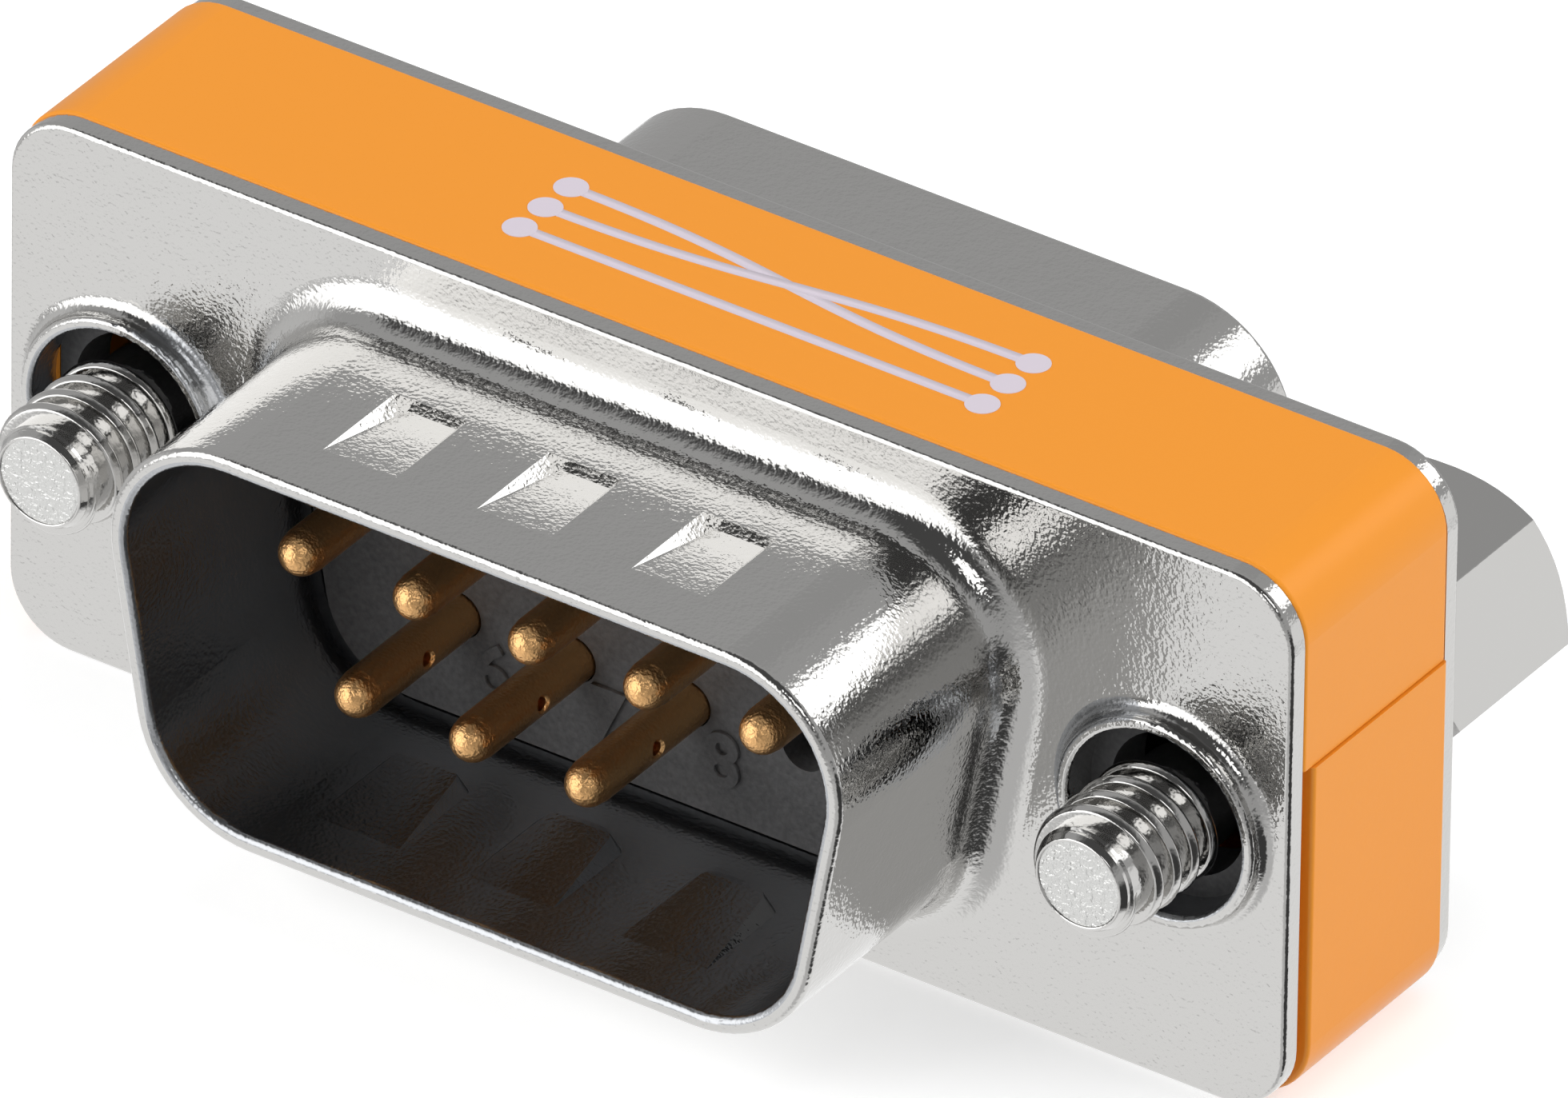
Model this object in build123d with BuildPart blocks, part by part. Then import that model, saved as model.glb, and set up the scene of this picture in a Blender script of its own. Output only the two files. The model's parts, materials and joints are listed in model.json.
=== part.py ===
"""Null modem adapter: a nine-way plug in front, a nine-way socket behind, two jackscrews through both.

X runs along the adapter, +Y from the plug to the socket, +Z up, with the wide side of both D shells up.
The origin is the middle of the plug flange's front face.  All sizes are in millimetres.
"""

import os
from math import cos, radians, sin

from build123d import *

os.makedirs("parts", exist_ok=True)

# Nine-way D connector interface: contact 9 of the nine places is left empty
flange_height = 12.5
flange_corner = 1.5
contact_pitch = 2.77
row_pitch = 2.84
top_row_count = 5
bottom_row_count = 4
fitted_count = 8
side_slope = 10.0

# Drawn steel shells
sheet = 0.45
flange_edge_round = 0.12
shell_wall = 0.4
draw_radius = 0.9
back_draw_radius = 0.45
rim_round = 0.15

contact_to_shell = 2.84
plug_inner_height = 8.36
plug_inner_corner = 2.4
plug_reach = 6.0

mating_side_gap = 0.215
mating_top_gap = 0.23
socket_outer_corner = 2.6
socket_reach = 5.1

# Wedge dimples that grip the mating shell, with sloping sides
dimple_count = 3
dimple_pitch = 3.7
dimple_width = 1.76
dimple_length = 2.5
dimple_depth = 0.3
dimple_side_slope = 0.3
dimple_back = 2.1
dimple_skin = 0.15
dimple_corner = 0.3

# Raised collars round the plug flange's screw holes
collar_hole = 4.15
collar_lip = 0.28
collar_rise = 0.45
collar_lip_round = 0.1
collar_lip_flat = 0.05
collar_to_shell = 0.16
collar_to_end = 0.255

# Plastic band between the flanges, in two halves
band_depth = 5.05
band_wall = 0.95
band_upper_proud = 0.02
band_lower_proud = 0.08
band_face_proud = 0.06
band_inner_corner = 0.6
band_edge_round = 0.1
shadow_gap_width = 0.3
shadow_gap_depth = 0.35
seam_height = 1.8
seam_gap = 0.04
tongue_height = 1.0
tongue_thickness = 0.4
tongue_clearance = 0.04
rib_thickness = 1.0
rib_reach = 1.5
rib_clearance = 0.05

# Insulators
insulator_clearance = 0.03
insulator_back_step = 1.32
insulator_back = 1.2
insulator_corner = 0.8
insulator_screw_hole = 3.2
plug_face_proud = 0.4
nose_gap = 0.35
socket_face_recess = 0.25
contact_clearance = 0.03

# Pins
pin_diameter = 1.0
pin_reach = 4.4
pin_nose_radius = 0.48
pin_taper = 0.1
pin_collar_diameter = 1.5
pin_collar = 0.6
pin_vent_diameter = 0.3
pin_vent_rim = 0.06
pin_vent_back = 2.23
pin_vent_turn = 6.0

# Sockets
socket_barrel_diameter = 1.6
socket_bore_diameter = 1.04
socket_back_wall = 0.8
socket_slot_width = 0.25
socket_slot_depth = 3.5
socket_front_wall = 0.6
socket_front_play = 0.1
entry_diameter = 1.2
entry_chamfer = 0.2

# Crossover board
board_thickness = 1.0
board_end_inset = 0.5
board_edge_gap = 0.56
board_corner = 0.6
tail_diameter = 0.7
tail_seat = 0.3

# Jackscrews
hex_across_flats = 4.76
hex_length = 4.5
hex_play = 0.2
hex_turn_left = 20.0
hex_turn_right = -10.5
hex_chamfer_height = 0.28
tapped_diameter = 2.26
tapped_depth = 3.8
tapped_mouth_chamfer = 0.3
drill_point = 0.6
shank_diameter = 2.3
thread_diameter = 2.74
thread_passage = 0.13
thread_back = -0.65
point_diameter = 2.16
point_length = 0.35
point_chamfer = 0.12
thread_lead_in = 0.25
screw_reach = 3.1

# Snap rings that keep the jackscrews in the adapter
ring_groove_diameter = 1.8
ring_groove_play = 0.05
ring_thickness = 0.4
ring_wall_gap = 0.08
ring_mouth = 1.5
ring_play = 0.15
ring_seat_clearance = 0.02

# Places along Y, from the plug to the socket
plug_flange_back = sheet
band_back = plug_flange_back + band_depth
socket_flange_back = band_back + sheet
socket_rim = socket_flange_back + socket_reach
plug_insulator_back = plug_flange_back + insulator_back
socket_insulator_back = band_back - insulator_back
socket_face = socket_rim - socket_face_recess
board_front = (plug_insulator_back + socket_insulator_back - board_thickness) / 2
board_back = board_front + board_thickness
hex_near = socket_flange_back + hex_play
hex_far = hex_near + hex_length
ring_back = band_back - ring_play
ring_front = ring_back - ring_thickness

# Widths, from the contacts outwards: the shells, the collars, then the flange's ends.
# The screws come to 24.99 apart and the flange to 30.81 long, as on every nine-way connector.
plug_inner_width = (top_row_count - 1) * contact_pitch + 2 * contact_to_shell
socket_outer_width = plug_inner_width - 2 * mating_side_gap
socket_outer_height = plug_inner_height - 2 * mating_top_gap
collar_root = collar_rise - collar_lip_round - collar_lip_flat
collar_outer = collar_hole / 2 + collar_lip + collar_root
screw_x = plug_inner_width / 2 + shell_wall + draw_radius + collar_to_shell + collar_outer
screw_places = [(-screw_x, 0), (screw_x, 0)]
flange_length = 2 * (screw_x + collar_outer + collar_to_end)

# Outlines inside the band
inner_length = flange_length + 2 * band_upper_proud - 2 * band_wall
band_inner_height = flange_height + 2 * band_face_proud - 2 * band_wall
insulator_back_length = plug_inner_width + 2 * insulator_back_step
insulator_back_height = band_inner_height - 2 * insulator_clearance
board_length = insulator_back_length - 2 * board_end_inset
board_height = band_inner_height - 2 * board_edge_gap
ring_outer_diameter = inner_length - 2 * screw_x - 2 * ring_wall_gap


def at_depth(depth):
    """Sketch plane facing the plug side, at a distance behind the plug flange's front face."""
    return Plane.XZ.offset(-depth)


def contact_place(number):
    """X and Z of a numbered contact: 1 to 5 along the wide side, 6 to 9 below."""
    if number <= top_row_count:
        return (number - (top_row_count + 1) / 2) * contact_pitch, row_pitch / 2
    return (number - top_row_count - (bottom_row_count + 1) / 2) * contact_pitch, -row_pitch / 2


contact_holes = [contact_place(number) for number in range(1, top_row_count + bottom_row_count + 1)]
fitted_contacts = range(1, fitted_count + 1)


def d_outline(width, height, corner):
    """D outline in the open sketch: a trapezium with its wide side up and all four corners rounded."""
    slope = radians(side_slope)
    centre = width / 2 - corner
    top = centre + corner * (1 + sin(slope)) / cos(slope)
    bottom = centre + (corner - (height - corner) * sin(slope)) / cos(slope)
    with BuildLine() as border:
        Polyline(
            (-top, height / 2), (top, height / 2), (bottom, -height / 2), (-bottom, -height / 2), close=True
        )
    outline = make_face(border.edges())
    fillet(outline.vertices(), corner)


def turned_on(x, z, profile, mode=Mode.ADD):
    """Revolve a closed list of (radius, Y) points about the line through (x, z) along Y."""
    with BuildSketch(Plane(origin=(x, 0, z), x_dir=(1, 0, 0), z_dir=(0, 0, 1))) as section:
        with BuildLine():
            Polyline(*profile, close=True)
        make_face()
    revolve(section.sketch, axis=Axis((x, 0, z), (0, 1, 0)), mode=mode)


# Plug shell: one drawn steel piece, a flange with the D shell, the dimples and two raised collars
dimple_middle_x = [(place - (dimple_count - 1) / 2) * dimple_pitch for place in range(dimple_count)]



def keep_sloping_sides(half_width, height):
    """Keep of the open wedges what lies between sides that draw in from half_width at a height to the floor."""
    with BuildSketch(at_depth(0)) as section:
        for x in dimple_middle_x:
            with BuildLine() as border:
                Polyline(
                    (x - half_width, height),
                    (x + half_width, height),
                    (x + half_width - dimple_side_slope, height - dimple_depth),
                    (x - half_width + dimple_side_slope, height - dimple_depth),
                    close=True,
                )
            make_face(border.edges())
    extrude(section.sketch, amount=dimple_back + dimple_length, mode=Mode.INTERSECT)


with BuildPart() as dimple_bumps:
    for x in dimple_middle_x:
        with BuildSketch(Plane(origin=(x, 0, 0), x_dir=(0, 1, 0), z_dir=(1, 0, 0))):
            with BuildLine():
                Polyline(
                    (-dimple_back - dimple_length, plug_inner_height / 2),
                    (-dimple_back + dimple_skin, plug_inner_height / 2),
                    (-dimple_back + dimple_skin, plug_inner_height / 2 - dimple_depth),
                    (-dimple_back, plug_inner_height / 2 - dimple_depth),
                    close=True,
                )
            make_face()
        extrude(amount=dimple_width / 2 + dimple_skin, both=True)
    keep_sloping_sides(dimple_width / 2 + dimple_skin, plug_inner_height / 2)
    back_edges = dimple_bumps.edges().group_by(Axis.Y)[-1].filter_by(Axis.X, reverse=True)
    fillet(back_edges, dimple_corner)
    mirror(about=Plane.XY)

with BuildPart() as dimple_hollows:
    outer_height = plug_inner_height / 2 + shell_wall
    for x in dimple_middle_x:
        with BuildSketch(Plane(origin=(x, 0, 0), x_dir=(0, 1, 0), z_dir=(1, 0, 0))):
            with BuildLine():
                Polyline(
                    (-dimple_back - dimple_length, outer_height),
                    (-dimple_back, outer_height),
                    (-dimple_back, outer_height - dimple_depth),
                    close=True,
                )
            make_face()
        extrude(amount=dimple_width / 2, both=True)
    keep_sloping_sides(dimple_width / 2, outer_height)
    mirror(about=Plane.XY)

with BuildPart() as male_shell:
    with BuildSketch(at_depth(0)):
        RectangleRounded(flange_length, flange_height, flange_corner)
    extrude(amount=-sheet)
    fillet(male_shell.faces().sort_by(Axis.Y)[0].edges(), flange_edge_round)
    with BuildSketch(at_depth(0)):
        d_outline(
            plug_inner_width + 2 * shell_wall,
            plug_inner_height + 2 * shell_wall,
            plug_inner_corner + shell_wall,
        )
    extrude(amount=plug_reach)
    fillet(male_shell.edges(Select.LAST).group_by(Axis.Y)[-1], draw_radius)
    with BuildSketch(at_depth(0)):
        with Locations(screw_places):
            Circle(collar_hole / 2 + collar_lip)
    extrude(amount=collar_rise)
    fillet(male_shell.edges(Select.LAST).group_by(Axis.Y)[-1], collar_root)
    with BuildSketch(at_depth(-plug_reach)):
        d_outline(plug_inner_width, plug_inner_height, plug_inner_corner)
    extrude(amount=-plug_reach - sheet, mode=Mode.SUBTRACT)
    fillet(male_shell.edges(Select.LAST).group_by(Axis.Y)[-1], back_draw_radius)
    with BuildSketch(at_depth(-collar_rise)):
        with Locations(screw_places):
            Circle(collar_hole / 2)
    extrude(amount=-collar_rise - sheet, mode=Mode.SUBTRACT)
    lip_edges = male_shell.edges().filter_by(GeomType.CIRCLE).filter_by_position(
        Axis.Y, -collar_rise - collar_lip_round, -collar_rise + collar_lip_round
    )
    fillet(lip_edges, collar_lip_round)
    fillet(male_shell.edges().group_by(Axis.Y)[0], rim_round)
    add(dimple_bumps.part)
    add(dimple_hollows.part, mode=Mode.SUBTRACT)
male_shell.part.label = "male_shell"
export_step(male_shell.part, "parts/male_shell.step")

# Socket shell: the same flange with plain screw holes and a smooth D shell pointing back
with BuildPart() as female_shell:
    with BuildSketch(at_depth(socket_flange_back)):
        RectangleRounded(flange_length, flange_height, flange_corner)
    extrude(amount=sheet)
    fillet(female_shell.faces().sort_by(Axis.Y)[-1].edges(), flange_edge_round)
    with BuildSketch(at_depth(socket_flange_back)):
        d_outline(socket_outer_width, socket_outer_height, socket_outer_corner)
    extrude(amount=-socket_reach)
    fillet(female_shell.edges(Select.LAST).group_by(Axis.Y)[0], draw_radius)
    with BuildSketch(at_depth(socket_rim)):
        d_outline(
            socket_outer_width - 2 * shell_wall,
            socket_outer_height - 2 * shell_wall,
            socket_outer_corner - shell_wall,
        )
    extrude(amount=socket_reach + sheet, mode=Mode.SUBTRACT)
    fillet(female_shell.edges(Select.LAST).group_by(Axis.Y)[0], back_draw_radius)
    fillet(female_shell.edges().group_by(Axis.Y)[-1], rim_round)
    with BuildSketch(at_depth(band_back)):
        with Locations(screw_places):
            Circle(thread_diameter / 2 + thread_passage)
    extrude(amount=-sheet, mode=Mode.SUBTRACT)
female_shell.part.label = "female_shell"
export_step(female_shell.part, "parts/female_shell.step")

# Plug insulator: a D that fills the flange's opening, a nose that stands clear of the shell, and a back plate
# as wide as the band's inside, with a round hole for each jackscrew
with BuildPart() as male_insulator:
    for front, clearance in ((0, insulator_clearance), (-plug_face_proud, nose_gap)):
        with BuildSketch(at_depth(plug_flange_back)):
            d_outline(
                plug_inner_width - 2 * clearance,
                plug_inner_height - 2 * clearance,
                plug_inner_corner - clearance,
            )
        extrude(amount=plug_flange_back - front)
    with BuildSketch(at_depth(plug_flange_back)):
        RectangleRounded(inner_length - 2 * insulator_clearance, insulator_back_height, insulator_corner)
        with Locations(screw_places):
            Circle(insulator_screw_hole / 2, mode=Mode.SUBTRACT)
    extrude(amount=-insulator_back)
    with BuildSketch(at_depth(-plug_face_proud)):
        with Locations(contact_holes):
            Circle(pin_diameter / 2 + contact_clearance)
    extrude(amount=-plug_face_proud - plug_insulator_back, mode=Mode.SUBTRACT)
    with BuildSketch(at_depth(plug_insulator_back)):
        with Locations(contact_holes):
            Circle(pin_collar_diameter / 2 + contact_clearance)
    extrude(amount=pin_collar + contact_clearance, mode=Mode.SUBTRACT)
male_insulator.part.label = "male_insulator"
export_step(male_insulator.part, "parts/male_insulator.step")

# Socket insulator: fills the socket shell, with a chamfered entry and a barrel chamber for each contact
with BuildPart() as female_insulator:
    with BuildSketch(at_depth(band_back)):
        d_outline(
            socket_outer_width - 2 * shell_wall - 2 * insulator_clearance,
            socket_outer_height - 2 * shell_wall - 2 * insulator_clearance,
            socket_outer_corner - shell_wall - insulator_clearance,
        )
    extrude(amount=band_back - socket_face)
    with BuildSketch(at_depth(band_back)):
        RectangleRounded(insulator_back_length, insulator_back_height, insulator_corner)
    extrude(amount=insulator_back)
    with BuildSketch(at_depth(socket_face)):
        with Locations(contact_holes):
            Circle(entry_diameter / 2)
    extrude(amount=socket_front_wall, mode=Mode.SUBTRACT)
    chamfer(female_insulator.edges(Select.LAST).group_by(Axis.Y)[-1], entry_chamfer)
    with BuildSketch(at_depth(socket_face - socket_front_wall)):
        with Locations(contact_holes):
            Circle(socket_barrel_diameter / 2 + contact_clearance)
    extrude(amount=socket_face - socket_front_wall - socket_insulator_back, mode=Mode.SUBTRACT)
female_insulator.part.label = "female_insulator"
export_step(female_insulator.part, "parts/female_insulator.step")

# Pins: turned brass with a round nose, a vent hole, a collar in the insulator's back and a tail in the board
vent_direction = (cos(radians(pin_vent_turn)), 0, sin(radians(pin_vent_turn)))
for number in fitted_contacts:
    x, z = contact_place(number)
    radius = pin_diameter / 2
    nose_back = -pin_reach + pin_nose_radius
    with BuildPart() as pin:
        turned_on(
            x,
            z,
            [
                (0, board_front + tail_seat),
                (tail_diameter / 2, board_front + tail_seat),
                (tail_diameter / 2, plug_insulator_back),
                (pin_collar_diameter / 2, plug_insulator_back),
                (pin_collar_diameter / 2, plug_insulator_back - pin_collar),
                (radius, plug_insulator_back - pin_collar),
                (radius, nose_back + pin_taper),
                (pin_nose_radius, nose_back),
                (0, nose_back),
            ],
        )
        with Locations((x, nose_back, z)):
            Sphere(pin_nose_radius)
        with BuildSketch(Plane(origin=(x, -pin_reach + pin_vent_back, z), z_dir=vent_direction)):
            Circle(pin_vent_diameter / 2)
        extrude(amount=pin_diameter, mode=Mode.SUBTRACT)
        vent_edges = pin.edges(Select.LAST)
        chamfer(vent_edges.filter_by(GeomType.LINE, reverse=True).sort_by(Axis.X)[-1], pin_vent_rim)
    pin.part.label = f"pin_{number}"
    export_step(pin.part, f"parts/pin_{number}.step")

# Sockets: bored barrels split into two tines, with a tail in the board's back
for number in fitted_contacts:
    x, z = contact_place(number)
    barrel = socket_barrel_diameter / 2
    bore = socket_bore_diameter / 2
    barrel_front = socket_face - socket_front_wall - socket_front_play
    with BuildPart() as socket:
        turned_on(
            x,
            z,
            [
                (0, board_back - tail_seat),
                (tail_diameter / 2, board_back - tail_seat),
                (tail_diameter / 2, socket_insulator_back),
                (barrel, socket_insulator_back),
                (barrel, barrel_front),
                (bore, barrel_front),
                (bore, socket_insulator_back + socket_back_wall),
                (0, socket_insulator_back + socket_back_wall),
            ],
        )
        with BuildSketch(Plane(origin=(x, barrel_front, z), x_dir=(1, 0, 0), z_dir=(0, 1, 0))):
            Rectangle(socket_slot_width, socket_barrel_diameter * 2)
        extrude(amount=-socket_slot_depth, mode=Mode.SUBTRACT)
    socket.part.label = f"socket_{number}"
    export_step(socket.part, f"parts/socket_{number}.step")

# Crossover board: blind plated holes on both faces take the contact tails
with BuildPart() as crossover_board:
    with BuildSketch(at_depth(board_front)):
        RectangleRounded(board_length, board_height, board_corner)
    extrude(amount=-board_thickness)
    for face_depth, inward in ((board_front, -1), (board_back, 1)):
        with BuildSketch(at_depth(face_depth)):
            with Locations([contact_place(number) for number in fitted_contacts]):
                Circle(tail_diameter / 2 + contact_clearance)
        extrude(amount=inward * tail_seat, mode=Mode.SUBTRACT)
crossover_board.part.label = "crossover_board"
export_step(crossover_board.part, "parts/crossover_board.step")


def band_ring(front, proud):
    """Whole band from a depth behind the plug flange's face: the flange's outline grown by a small step, its
    outer edges rounded, hollow inside, with ribs from the plug insulator's plate to beside the socket's."""
    rib_x = insulator_back_length / 2 + rib_clearance + rib_thickness / 2
    rib_z = band_inner_height / 2 - rib_reach / 2
    with BuildPart() as ring:
        with BuildSketch(at_depth(front)):
            RectangleRounded(flange_length + 2 * proud, flange_height + 2 * band_face_proud, flange_corner)
        extrude(amount=front - band_back)
        ends = ring.edges().group_by(Axis.Y)
        fillet(ends[0] + ends[-1], band_edge_round)
        with BuildSketch(at_depth(front)):
            RectangleRounded(inner_length, band_inner_height, band_inner_corner)
        extrude(amount=front - band_back, mode=Mode.SUBTRACT)
        with BuildSketch(at_depth(plug_insulator_back)):
            with Locations((-rib_x, rib_z), (rib_x, rib_z), (-rib_x, -rib_z), (rib_x, -rib_z)):
                Rectangle(rib_thickness, rib_reach)
        extrude(amount=plug_insulator_back - band_back)
    return ring.part


tongue_x = inner_length / 2 + tongue_thickness / 2
seam_plane = Plane.XY.offset(seam_height)
upper_ring = band_ring(plug_flange_back, band_upper_proud)
lower_ring = band_ring(plug_flange_back + shadow_gap_width, band_lower_proud)

# Band, upper half: the top with short ends, rebated inside for the lower half's tongues
with BuildPart() as band_upper:
    add(upper_ring)
    split(bisect_by=Plane.XY.offset(seam_height + seam_gap), keep=Keep.TOP)
    with BuildSketch(seam_plane):
        with Locations(
            (-tongue_x, plug_flange_back + band_depth / 2), (tongue_x, plug_flange_back + band_depth / 2)
        ):
            Rectangle(tongue_thickness + 2 * tongue_clearance, band_depth)
    extrude(amount=tongue_height + tongue_clearance, mode=Mode.SUBTRACT)
band_upper.part.label = "band_upper"
export_step(band_upper.part, "parts/band_upper.step")

# Band, lower half: a tray slightly proud of the upper half, with a tongue on each end wall.
# Only an inner lip reaches the plug flange, which leaves a shadow gap around the outside.
with BuildPart() as band_lower:
    add(lower_ring)
    with BuildSketch(at_depth(plug_flange_back)):
        RectangleRounded(
            flange_length + 2 * band_lower_proud - 2 * shadow_gap_depth,
            flange_height + 2 * band_face_proud - 2 * shadow_gap_depth,
            flange_corner - shadow_gap_depth,
        )
        RectangleRounded(inner_length, band_inner_height, band_inner_corner, mode=Mode.SUBTRACT)
    extrude(amount=-shadow_gap_width)
    split(bisect_by=seam_plane, keep=Keep.BOTTOM)
    with BuildSketch(seam_plane):
        with Locations(
            (-tongue_x, plug_flange_back + band_depth / 2), (tongue_x, plug_flange_back + band_depth / 2)
        ):
            Rectangle(tongue_thickness, band_depth)
    extrude(amount=tongue_height)
band_lower.part.label = "band_lower"
export_step(band_lower.part, "parts/band_lower.step")

# Jackscrews: a tapped hex head behind, a reduced shank with a ring groove, and a threaded end in front
for side, (x, z), turn in (
    ("left", screw_places[0], hex_turn_left),
    ("right", screw_places[1], hex_turn_right),
):
    hex_corner = hex_across_flats / 2 / cos(radians(30))
    with BuildPart() as jackscrew:
        with BuildSketch(at_depth(hex_near)):
            with Locations((x, z)):
                RegularPolygon(hex_corner, 6, rotation=turn)
        extrude(amount=-hex_length)
        turned_on(
            x,
            z,
            [
                (0, hex_near),
                (hex_across_flats / 2, hex_near),
                (hex_corner, hex_near + hex_chamfer_height),
                (hex_corner, hex_far - hex_chamfer_height),
                (hex_across_flats / 2, hex_far),
                (0, hex_far),
            ],
            mode=Mode.INTERSECT,
        )
        turned_on(
            x,
            z,
            [
                (0, hex_near),
                (shank_diameter / 2, hex_near),
                (shank_diameter / 2, ring_back + ring_groove_play),
                (ring_groove_diameter / 2, ring_back + ring_groove_play),
                (ring_groove_diameter / 2, ring_front - ring_groove_play),
                (shank_diameter / 2, ring_front - ring_groove_play),
                (shank_diameter / 2, thread_back),
                (thread_diameter / 2, thread_back),
                (thread_diameter / 2, -screw_reach + point_length + thread_lead_in),
                (point_diameter / 2, -screw_reach + point_length),
                (point_diameter / 2, -screw_reach + point_chamfer),
                (point_diameter / 2 - point_chamfer, -screw_reach),
                (0, -screw_reach),
            ],
        )
        turned_on(
            x,
            z,
            [
                (0, hex_far),
                (tapped_diameter / 2 + tapped_mouth_chamfer, hex_far),
                (tapped_diameter / 2, hex_far - tapped_mouth_chamfer),
                (tapped_diameter / 2, hex_far - tapped_depth),
                (0, hex_far - tapped_depth - drill_point),
            ],
            mode=Mode.SUBTRACT,
        )
    jackscrew.part.label = f"jackscrew_{side}"
    export_step(jackscrew.part, f"parts/jackscrew_{side}.step")

    with BuildPart() as ring:
        with BuildSketch(at_depth(ring_front)):
            with Locations((x, z)):
                Circle(ring_outer_diameter / 2)
                Circle(ring_groove_diameter / 2 + ring_seat_clearance, mode=Mode.SUBTRACT)
            with Locations((x, z - ring_outer_diameter / 2)):
                Rectangle(ring_mouth, ring_outer_diameter, mode=Mode.SUBTRACT)
        extrude(amount=-ring_thickness)
    ring.part.label = f"retaining_ring_{side}"
    export_step(ring.part, f"parts/retaining_ring_{side}.step")
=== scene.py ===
"""Null modem adapter: studio, finishes, threads, moulded contact numbers and a small printed sign.

Everything is in metres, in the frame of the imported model: X along the adapter, +Y from the plug to the
socket, +Z up, with the origin in the middle of the plug flange's front face.
"""

import json
import math

import bmesh
import bpy
from mathutils import Matrix, Vector


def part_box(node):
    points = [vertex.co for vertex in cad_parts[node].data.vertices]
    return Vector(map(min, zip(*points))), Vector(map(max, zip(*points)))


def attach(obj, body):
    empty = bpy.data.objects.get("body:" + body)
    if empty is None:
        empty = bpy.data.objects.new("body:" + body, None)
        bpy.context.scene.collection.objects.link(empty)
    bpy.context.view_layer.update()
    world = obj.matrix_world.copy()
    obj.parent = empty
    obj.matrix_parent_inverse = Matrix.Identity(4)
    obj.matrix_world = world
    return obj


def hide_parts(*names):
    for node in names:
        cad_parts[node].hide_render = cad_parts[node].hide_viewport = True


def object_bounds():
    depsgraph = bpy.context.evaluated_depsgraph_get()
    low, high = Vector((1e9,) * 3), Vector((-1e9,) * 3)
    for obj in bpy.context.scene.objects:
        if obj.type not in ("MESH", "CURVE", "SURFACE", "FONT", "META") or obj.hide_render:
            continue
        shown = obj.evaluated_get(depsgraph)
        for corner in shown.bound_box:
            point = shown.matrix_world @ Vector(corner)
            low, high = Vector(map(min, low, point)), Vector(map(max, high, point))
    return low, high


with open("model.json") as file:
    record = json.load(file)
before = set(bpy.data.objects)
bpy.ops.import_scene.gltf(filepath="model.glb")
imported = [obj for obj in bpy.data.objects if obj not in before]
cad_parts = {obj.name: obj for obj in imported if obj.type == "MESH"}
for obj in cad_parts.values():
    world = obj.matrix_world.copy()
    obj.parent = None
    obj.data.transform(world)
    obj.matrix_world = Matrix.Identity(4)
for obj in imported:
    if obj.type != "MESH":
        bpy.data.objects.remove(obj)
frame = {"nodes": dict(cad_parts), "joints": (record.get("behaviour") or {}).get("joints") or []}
nodes = frame["nodes"]
construction_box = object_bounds()
mm = 0.001

# Viewpoint: the adapter is seen from the plug side, from above and from its right end.
# A long lens from almost a metre away keeps parallel edges parallel, as in a product photograph.
view_azimuth = math.radians(33.911)
view_elevation = math.radians(33.251)
view_roll = math.radians(0.802)
view_distance = 907.75 * mm
origin_across = -2.791 * mm
origin_up = -1.26 * mm

towards_lens = Vector(
    (
        math.sin(view_azimuth) * math.cos(view_elevation),
        -math.cos(view_azimuth) * math.cos(view_elevation),
        math.sin(view_elevation),
    )
)
level_right = Vector((math.cos(view_azimuth), math.sin(view_azimuth), 0))
level_up = towards_lens.cross(level_right)
frame_right = level_right * math.cos(view_roll) + level_up * math.sin(view_roll)
frame_up = level_up * math.cos(view_roll) - level_right * math.sin(view_roll)

# Blender takes the focal length and the sensor's width in millimetres
lens = bpy.data.cameras.new("product_lens")
lens.lens = 1050
lens.sensor_width = 36
camera = bpy.data.objects.new("product_lens", lens)
camera.matrix_world = Matrix.Translation(
    towards_lens * view_distance - frame_right * origin_across - frame_up * origin_up
) @ Matrix((frame_right, frame_up, towards_lens)).transposed().to_4x4()
bpy.context.scene.collection.objects.link(camera)
bpy.context.scene.camera = camera
bpy.context.scene.view_settings.view_transform = "Standard"


# Studio: a white sheet under the adapter, a large lamp at front left, one behind on the right and one above.
# Bright metal shows what stands round it, so the world holds soft pale and dark cards that only gloss sees.
def add_node(tree, kind, inputs=None, **settings):
    """Add a node with its settings; inputs maps a socket to a value or to another node's output."""
    made = tree.nodes.new(kind)
    for name, value in settings.items():
        setattr(made, name, value)
    for socket, value in (inputs or {}).items():
        if isinstance(value, bpy.types.NodeSocket):
            tree.links.new(value, made.inputs[socket])
        else:
            made.inputs[socket].default_value = value
    return made


def from_hex(code):
    """Linear colour from an sRGB hex code."""
    parts = [int(code[place : place + 2], 16) / 255 for place in (1, 3, 5)]
    return [part / 12.92 if part <= 0.04045 else ((part + 0.055) / 1.055) ** 2.4 for part in parts] + [1.0]


def direction(azimuth, elevation):
    """Unit vector; azimuth in degrees from +Y towards +X, elevation in degrees above the horizon."""
    a, e = math.radians(azimuth), math.radians(elevation)
    return Vector((math.sin(a) * math.cos(e), math.cos(a) * math.cos(e), math.sin(e)))


# What gloss sees: a grey sky that turns into pale ground between two heights, and the cards on it
sky_brightness = 0.56
ground_brightness = 1.28
ground_edge, sky_edge = -0.5, -0.36
# What lights matt surfaces, and what the camera sees behind the adapter
room_brightness = 0.4
white_background = 1.0
# Cards: azimuth, elevation, half of the width and softness of the edge, in degrees, and brightness
cards = (
    (165, 50, 44, 10, 0.1),
    (-20, 45, 12, 6, 0.5),
    (150, -42, 26, 12, 0.8),
    (100, -28, 28, 8, 0.07),
    (-145, 10, 30, 6, 2.5),
    (145, 34, 12, 3, 2.5),
    (-98, -8, 20, 14, 0.85),
    (35, 34, 12, 4, 2.8),
    (46, -10, 16, 4, 1.2),
)

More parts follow.
